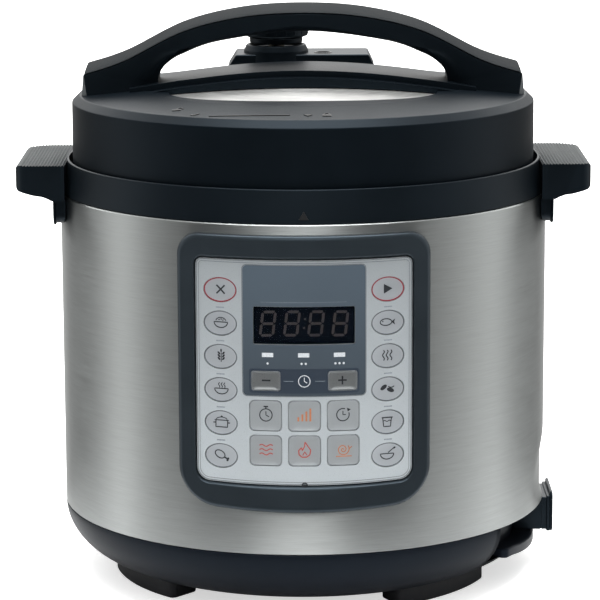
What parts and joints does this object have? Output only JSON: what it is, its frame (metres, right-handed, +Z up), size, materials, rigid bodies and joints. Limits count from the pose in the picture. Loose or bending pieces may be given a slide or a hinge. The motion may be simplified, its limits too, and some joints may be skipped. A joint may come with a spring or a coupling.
{
  "type": "electric pressure cooker",
  "caption": "Upright round electric pressure cooker: steel drum on a dark base, black locking lid with an arched handle, curved front control panel.",
  "frame": {"origin": "centre of the cooker's outline on the surface it stands on; the axis of the pot is 11.8 mm in front of it", "axes": "+Z up, parallel to the pot's axis, -Y towards the control panel, +X towards the mains inlet"},
  "size_m": [0.321, 0.31, 0.3239],
  "materials": {
    "stainless": "brushed round the body",
    "steel": "plain pressed steel",
    "heater_alloy": "satin cast",
    "black_plastic": "fine matte grain",
    "base_plastic": "smooth satin",
    "grey_plastic": "satin",
    "panel_film": "satin printed film",
    "key_white": "satin",
    "key_silver": "satin",
    "display_glass": "dark tinted",
    "clear_plastic": "clear, slightly smoky",
    "foot_rubber": "matte",
    "silicone": "translucent matte",
    "board": "solder mask",
    "pin_metal": "nickel plated"
  },
  "bodies": {
    "housing": {"base": "base_plastic", "chamber_liner": "steel", "condensate_bracket": "black_plastic", "control_board": "board", "display_module": "black_plastic", "display_window": "display_glass", "foot_front_left": "foot_rubber", "foot_front_right": "foot_rubber", "foot_rear_left": "foot_rubber", "foot_rear_right": "foot_rubber", "heating_plate": "heater_alloy", "housing_shell": "stainless", "inlet_housing": "black_plastic", "inlet_pin_earth": "pin_metal", "inlet_pin_line": "pin_metal", "inlet_pin_neutral": "pin_metal", "left_handle_brace": "black_plastic", "locking_ring": "steel", "panel_bezel": "black_plastic", "panel_overlay": "panel_film", "power_board": "board", "right_handle_brace": "black_plastic", "rim_ring": "black_plastic", "sensor_bracket": "steel", "sensor_spring": "steel"},
    "lid": {"lid_cover": "black_plastic", "lid_pan": "stainless", "handle_arch": "black_plastic", "handle_cap": "grey_plastic", "valve_platform": "black_plastic", "steam_pipe": "steel", "sealing_ring_rack": "steel"},
    "condensate_cup": {"condensate_cup": "clear_plastic"},
    "sensor_cap": {"sensor_cap": "heater_alloy"},
    "inner_pot": {"inner_pot": "stainless"},
    "sealing_ring": {"sealing_ring": "silicone"},
    "float_valve": {"float_valve": "steel"},
    "valve_weight": {"valve_weight": "steel"},
    "steam_knob": {"steam_knob": "black_plastic"},
    "key_left_bottom": {"key_left_bottom": "key_white"},
    "key_left_fifth": {"key_left_fifth": "key_white"},
    "key_left_fourth": {"key_left_fourth": "key_white"},
    "key_left_second": {"key_left_second": "key_white"},
    "key_left_third": {"key_left_third": "key_white"},
    "key_left_top": {"key_left_top": "key_white"},
    "key_lower_left": {"key_lower_left": "key_white"},
    "key_lower_middle": {"key_lower_middle": "key_white"},
    "key_lower_right": {"key_lower_right": "key_white"},
    "key_minus": {"key_minus": "key_silver"},
    "key_plus": {"key_plus": "key_silver"},
    "key_right_bottom": {"key_right_bottom": "key_white"},
    "key_right_fifth": {"key_right_fifth": "key_white"},
    "key_right_fourth": {"key_right_fourth": "key_white"},
    "key_right_second": {"key_right_second": "key_white"},
    "key_right_third": {"key_right_third": "key_white"},
    "key_right_top": {"key_right_top": "key_white"},
    "key_upper_left": {"key_upper_left": "key_white"},
    "key_upper_middle": {"key_upper_middle": "key_white"},
    "key_upper_right": {"key_upper_right": "key_white"}
  },
  "joints": [
    {"name": "pot_lift", "type": "slide", "parent": "housing", "child": "inner_pot", "axis": [0, 0, 1], "range_m": [0, 0.2]},
    {"name": "lid_lift", "type": "slide", "parent": "inner_pot", "child": "sealing_ring", "axis": [0, 0, 1], "range_m": [0, 0.16]},
    {"name": "lid_turn", "type": "hinge", "parent": "sealing_ring", "child": "lid", "pos_m": [0, -0.0118, 0.235], "axis": [0, 0, 1], "range_deg": [0, 35]},
    {"name": "float_rise", "type": "slide", "parent": "lid", "child": "float_valve", "axis": [0, 0, 1], "range_m": [0, 0.005]},
    {"name": "valve_lift", "type": "slide", "parent": "lid", "child": "valve_weight", "axis": [0, 0, 1], "range_m": [0, 0.02]},
    {"name": "valve_turn", "type": "hinge", "parent": "valve_weight", "child": "steam_knob", "pos_m": [-0.0155, 0.0482, 0.304], "axis": [0, 0, 1], "range_deg": [0, 70]},
    {"name": "sensor_press", "type": "slide", "parent": "housing", "child": "sensor_cap", "axis": [0, 0, 1], "range_m": [-0.003, 0], "stiffness_N_per_m": 2000, "springref_m": 0.002, "deforming": ["sensor_spring"]},
    {"name": "cup_slide", "type": "slide", "parent": "housing", "child": "condensate_cup", "axis": [0, 0, -1], "range_m": [0, 0.06]},
    {"name": "key_left_bottom_press", "type": "slide", "parent": "housing", "child": "key_left_bottom", "axis": [0.3173, 0.9483, 0], "range_m": [0, 0.0005], "stiffness_N_per_m": 300},
    {"name": "key_left_fifth_press", "type": "slide", "parent": "housing", "child": "key_left_fifth", "axis": [0.3173, 0.9483, 0], "range_m": [0, 0.0005], "stiffness_N_per_m": 300},
    {"name": "key_left_fourth_press", "type": "slide", "parent": "housing", "child": "key_left_fourth", "axis": [0.3173, 0.9483, 0], "range_m": [0, 0.0005], "stiffness_N_per_m": 300},
    {"name": "key_left_second_press", "type": "slide", "parent": "housing", "child": "key_left_second", "axis": [0.3173, 0.9483, 0], "range_m": [0, 0.0005], "stiffness_N_per_m": 300},
    {"name": "key_left_third_press", "type": "slide", "parent": "housing", "child": "key_left_third", "axis": [0.3173, 0.9483, 0], "range_m": [0, 0.0005], "stiffness_N_per_m": 300},
    {"name": "key_left_top_press", "type": "slide", "parent": "housing", "child": "key_left_top", "axis": [0.3173, 0.9483, 0], "range_m": [0, 0.0005], "stiffness_N_per_m": 300},
    {"name": "key_lower_left_press", "type": "slide", "parent": "housing", "child": "key_lower_left", "axis": [0.1469, 0.9891, 0], "range_m": [0, 0.0005], "stiffness_N_per_m": 300},
    {"name": "key_lower_middle_press", "type": "slide", "parent": "housing", "child": "key_lower_middle", "axis": [0, 1, 0], "range_m": [0, 0.0005], "stiffness_N_per_m": 300},
    {"name": "key_lower_right_press", "type": "slide", "parent": "housing", "child": "key_lower_right", "axis": [-0.1469, 0.9891, 0], "range_m": [0, 0.0005], "stiffness_N_per_m": 300},
    {"name": "key_minus_press", "type": "slide", "parent": "housing", "child": "key_minus", "axis": [0.1452, 0.9894, 0], "range_m": [0, 0.0005], "stiffness_N_per_m": 300},
    {"name": "key_plus_press", "type": "slide", "parent": "housing", "child": "key_plus", "axis": [-0.1452, 0.9894, 0], "range_m": [0, 0.0005], "stiffness_N_per_m": 300},
    {"name": "key_right_bottom_press", "type": "slide", "parent": "housing", "child": "key_right_bottom", "axis": [-0.3173, 0.9483, 0], "range_m": [0, 0.0005], "stiffness_N_per_m": 300},
    {"name": "key_right_fifth_press", "type": "slide", "parent": "housing", "child": "key_right_fifth", "axis": [-0.3173, 0.9483, 0], "range_m": [0, 0.0005], "stiffness_N_per_m": 300},
    {"name": "key_right_fourth_press", "type": "slide", "parent": "housing", "child": "key_right_fourth", "axis": [-0.3173, 0.9483, 0], "range_m": [0, 0.0005], "stiffness_N_per_m": 300},
    {"name": "key_right_second_press", "type": "slide", "parent": "housing", "child": "key_right_second", "axis": [-0.3173, 0.9483, 0], "range_m": [0, 0.0005], "stiffness_N_per_m": 300},
    {"name": "key_right_third_press", "type": "slide", "parent": "housing", "child": "key_right_third", "axis": [-0.3173, 0.9483, 0], "range_m": [0, 0.0005], "stiffness_N_per_m": 300},
    {"name": "key_right_top_press", "type": "slide", "parent": "housing", "child": "key_right_top", "axis": [-0.3173, 0.9483, 0], "range_m": [0, 0.0005], "stiffness_N_per_m": 300},
    {"name": "key_upper_left_press", "type": "slide", "parent": "housing", "child": "key_upper_left", "axis": [0.1469, 0.9891, 0], "range_m": [0, 0.0005], "stiffness_N_per_m": 300},
    {"name": "key_upper_middle_press", "type": "slide", "parent": "housing", "child": "key_upper_middle", "axis": [0, 1, 0], "range_m": [0, 0.0005], "stiffness_N_per_m": 300},
    {"name": "key_upper_right_press", "type": "slide", "parent": "housing", "child": "key_upper_right", "axis": [-0.1469, 0.9891, 0], "range_m": [0, 0.0005], "stiffness_N_per_m": 300}
  ]
}
